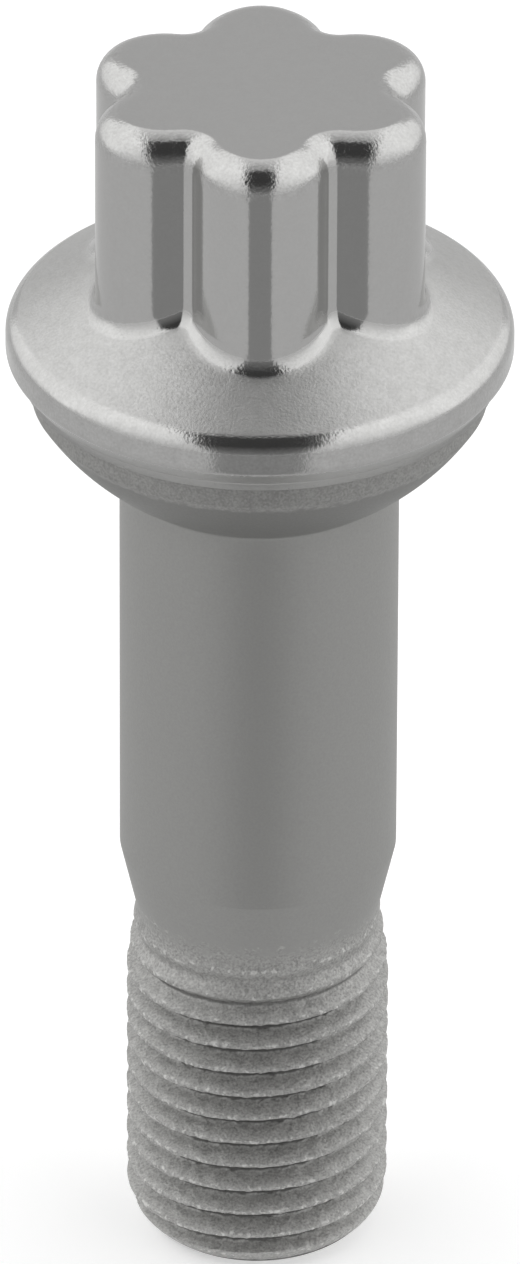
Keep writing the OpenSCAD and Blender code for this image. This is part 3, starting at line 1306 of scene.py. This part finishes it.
@dataclass
class Studio:
    """The plain pale floor and world, the glowing cards that light the bolt, and the camera."""

    elevation_deg: float = 31.42
    distance: float = 900.0
    focal_px: float = 17046.0
    target_z: float = 36.1
    shift_px: float = -1.24
    roll_deg: float = 0.22
    card_distance: float = 0.6
    card_z: float = 0.05
    card_edge_deg: float = 90.0
    strip_half_deg: float = 20.0
    strip_level: float = 0.375
    mat_level: float = 0.72
    mat_reach: Place = (0.012, 0.03, 0.6)
    floor_side: float = 3.0
    floor_colour: float = 0.7
    floor_glow: float = 0.44
    world_level: float = 0.55

    def camera(self) -> bpy.types.Object:
        """Puts the camera at the photograph's viewing angle.

        Returns:
            The camera.
        """
        tall = max(PHOTO_SIZE)
        data = bpy.data.cameras.new("camera")
        data.sensor_fit = "AUTO"
        data.sensor_width = 36.0
        data.lens = self.focal_px * data.sensor_width / tall
        data.shift_x = -self.shift_px / tall
        data.clip_start, data.clip_end = 0.01, 20.0
        made = bpy.data.objects.new("camera", data)
        bpy.context.scene.collection.objects.link(made)
        e, roll = math.radians(self.elevation_deg), math.radians(self.roll_deg)
        back = Vector((0.0, -math.cos(e), math.sin(e)))
        right, up = Vector((1.0, 0.0, 0.0)), Vector((0.0, math.sin(e), math.cos(e)))
        turned_right = right * math.cos(roll) + up * math.sin(roll)
        turned_up = up * math.cos(roll) - right * math.sin(roll)
        place = Matrix((turned_right, turned_up, back)).transposed().to_4x4()
        place.translation = (Vector((0.0, 0.0, self.target_z)) + back * self.distance) * MM
        made.matrix_world = place
        bpy.context.scene.camera = made
        return made

    @staticmethod
    def card_material() -> bpy.types.Material:
        """A glow for the cards, as bright as the level that each point of a card carries.

        Returns:
            The material.
        """
        made = plain_material("card", {
            "Base Color": BLACK, "Specular IOR Level": 0.0, "Emission Color": WHITE})
        tree = made.node_tree
        level = tree.nodes.new("ShaderNodeAttribute")
        level.attribute_name = "level"
        feed(tree, tree.nodes["Principled BSDF"].inputs["Emission Strength"], level.outputs["Fac"])
        return made

    @staticmethod
    def seen(tree: bpy.types.NodeTree) -> Formula:
        """One for rays that show the background, straight or in metal, and else nought.

        Args:
            tree: The tree of the floor's or the world's shader.

        Returns:
            The share.
        """
        path = tree.nodes.new("ShaderNodeLightPath")
        names = ("Is Camera Ray", "Is Glossy Ray", "Is Transmission Ray")
        camera, glossy, through = (Formula(tree, path.outputs[name]) for name in names)
        return camera.most(glossy).most(through)

    def floor(self) -> bpy.types.Object:
        """Lays the floor, which looks white to the camera and keeps the bolt's shadow.

        Returns:
            The floor.
        """
        side = self.floor_side
        corners = [(-side, -side, 0.0), (side, -side, 0.0), (side, side, 0.0), (-side, side, 0.0)]
        made = mesh_object("floor", corners, faces=[(0, 1, 2, 3)])
        material = plain_material("floor", {
            "Base Color": (*(self.floor_colour,) * 3, 1.0), "Roughness": 0.9, "Specular IOR Level": 0.1,
            "Emission Color": WHITE})
        tree = material.node_tree
        glow = self.seen(tree) * self.floor_glow
        feed(tree, tree.nodes["Principled BSDF"].inputs["Emission Strength"], glow)
        made.data.materials.append(material)
        return made

    def reflect_only(self, name: str, points: Sequence[Place], levels: Sequence[float], across: int,
                     glow: bpy.types.Material) -> bpy.types.Object:
        """Makes a card of a grid of points that the camera doesn't see.

        Args:
            name: Its name.
            points: Its points, row by row.
            levels: How bright it is at each point.
            across: Points in a row.
            glow: The cards' material.

        Returns:
            The card.
        """
        rows = len(points) // across
        faces = [(k, k + 1, k + across + 1, k + across)
                 for j in range(rows - 1) for k in range(j * across, (j + 1) * across - 1)]
        made = mesh_object(name, points, faces=faces)
        made.data.attributes.new("level", "FLOAT", "POINT").data.foreach_set("value", levels)
        made.data.materials.append(glow)
        made.visible_camera = made.visible_shadow = False
        return made

    def card(self, name: str, turns: Point, sides: tuple[Point, Point], levels: Point,
             glow: bpy.types.Material) -> None:
        """Hangs a curved card round the bolt.

        Args:
            name: Its name.
            turns: Where it starts and ends, in degrees from the front's horizon up over the top.
            sides: Its two sides at its start and at its end, in degrees from the middle plane.
            levels: How bright it is at its start and at its end.
            glow: The cards' material.
        """
        steps = 16
        points, bright = [], []
        for j in range(steps + 1):
            share = j / steps
            turn = math.radians(turns[0] + (turns[1] - turns[0]) * share)
            low, high = (sides[0][k] + (sides[1][k] - sides[0][k]) * share for k in (0, 1))
            for i in range(steps + 1):
                aside = math.radians(low + (high - low) * i / steps)
                flat = self.card_distance * math.cos(aside)
                points.append((self.card_distance * math.sin(aside), -flat * math.cos(turn),
                               self.card_z + flat * math.sin(turn)))
                bright.append(levels[0] + (levels[1] - levels[0]) * share)
        self.reflect_only(name, points, bright, steps + 1, glow)

    def mat(self, name: str, azimuths: Point, reach: Point, level: float, glow: bpy.types.Material) -> None:
        """Lays a grey mat on the floor that only the bolt's reflections see.

        Args:
            name: Its name.
            azimuths: Where it starts and ends round the bolt, in degrees from the front.
            reach: How near the bolt it starts and how far it goes, in metres.
            level: How bright it is.
            glow: The cards' material.
        """
        steps = 24
        start, end = (math.radians(a) for a in azimuths)
        angles = [start + (end - start) * i / steps for i in range(steps + 1)]
        points = [(r * math.sin(a), -r * math.cos(a), MM) for r in reach for a in angles]
        made = self.reflect_only(name, points, [level] * len(points), steps + 1, glow)
        made.visible_diffuse = False

    def surroundings(self) -> None:
        """Sets the plain pale world."""
        world = bpy.data.worlds.new("surroundings")
        bpy.context.scene.world = world
        world.use_nodes = True
        tree = world.node_tree
        strength = self.seen(tree).blend(self.world_level, 1.0)
        feed_named(tree, tree.nodes["Background"], {"Color": WHITE, "Strength": strength})

    def build(self) -> None:
        """Sets up the whole studio."""
        self.camera()
        self.floor()
        self.surroundings()
        glow = self.card_material()
        for band in BANDS:
            for way, label in ((1.0, "right"), (-1.0, "left")):
                low, high = ((way * half, way * self.card_edge_deg) for half in band.half_gap)
                self.card(f"soft_wall_{band.name}_{label}", band.turns, (low, high), band.wall, glow)
        for band in BANDS:
            low, high = ((-half, half) for half in band.half_gap)
            self.card(f"gap_{band.name}", band.turns, (low, high), band.gap, glow)
        near, middle, far = self.mat_reach
        strip = (-self.strip_half_deg, self.strip_half_deg)
        rest = (self.strip_half_deg, 360.0 - self.strip_half_deg)
        self.mat("strip", strip, (middle, far), self.strip_level, glow)
        self.mat("near_mat", strip, (near, middle), self.mat_level, glow)
        self.mat("mat", rest, (near, far), self.mat_level, glow)
        view = bpy.context.scene.view_settings
        view.view_transform = "Standard"


def main() -> None:
    """Builds the studio, the bolt and its cover."""
    logging.basicConfig(level=logging.INFO, format="%(name)s: %(message)s")
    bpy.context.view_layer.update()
    head, flange = HeadSizes(), FlangeSizes()
    Studio().build()
    trees, effects = SurfaceTrees(), SurfaceEffects()
    cover_part = DrawnCover(head, flange)
    bolt_part = ForgedBolt(head, flange)
    pieces = (
        (bolt_part.build(trees, FlakeCoat().material(effects, bolt_part)), "bolt_body", "coated_steel"),
        (cover_part.build(trees, BrightSheet().material(effects, head, flange)), "head_cap", "bright_sheet"),
    )
    for piece, node, slot in pieces:
        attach(piece, "root")
        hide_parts(node)
        LOG.info("%s stands for %s, with %d faces", piece.name, node, len(piece.data.polygons))


if __name__ == "__main__":
    main()
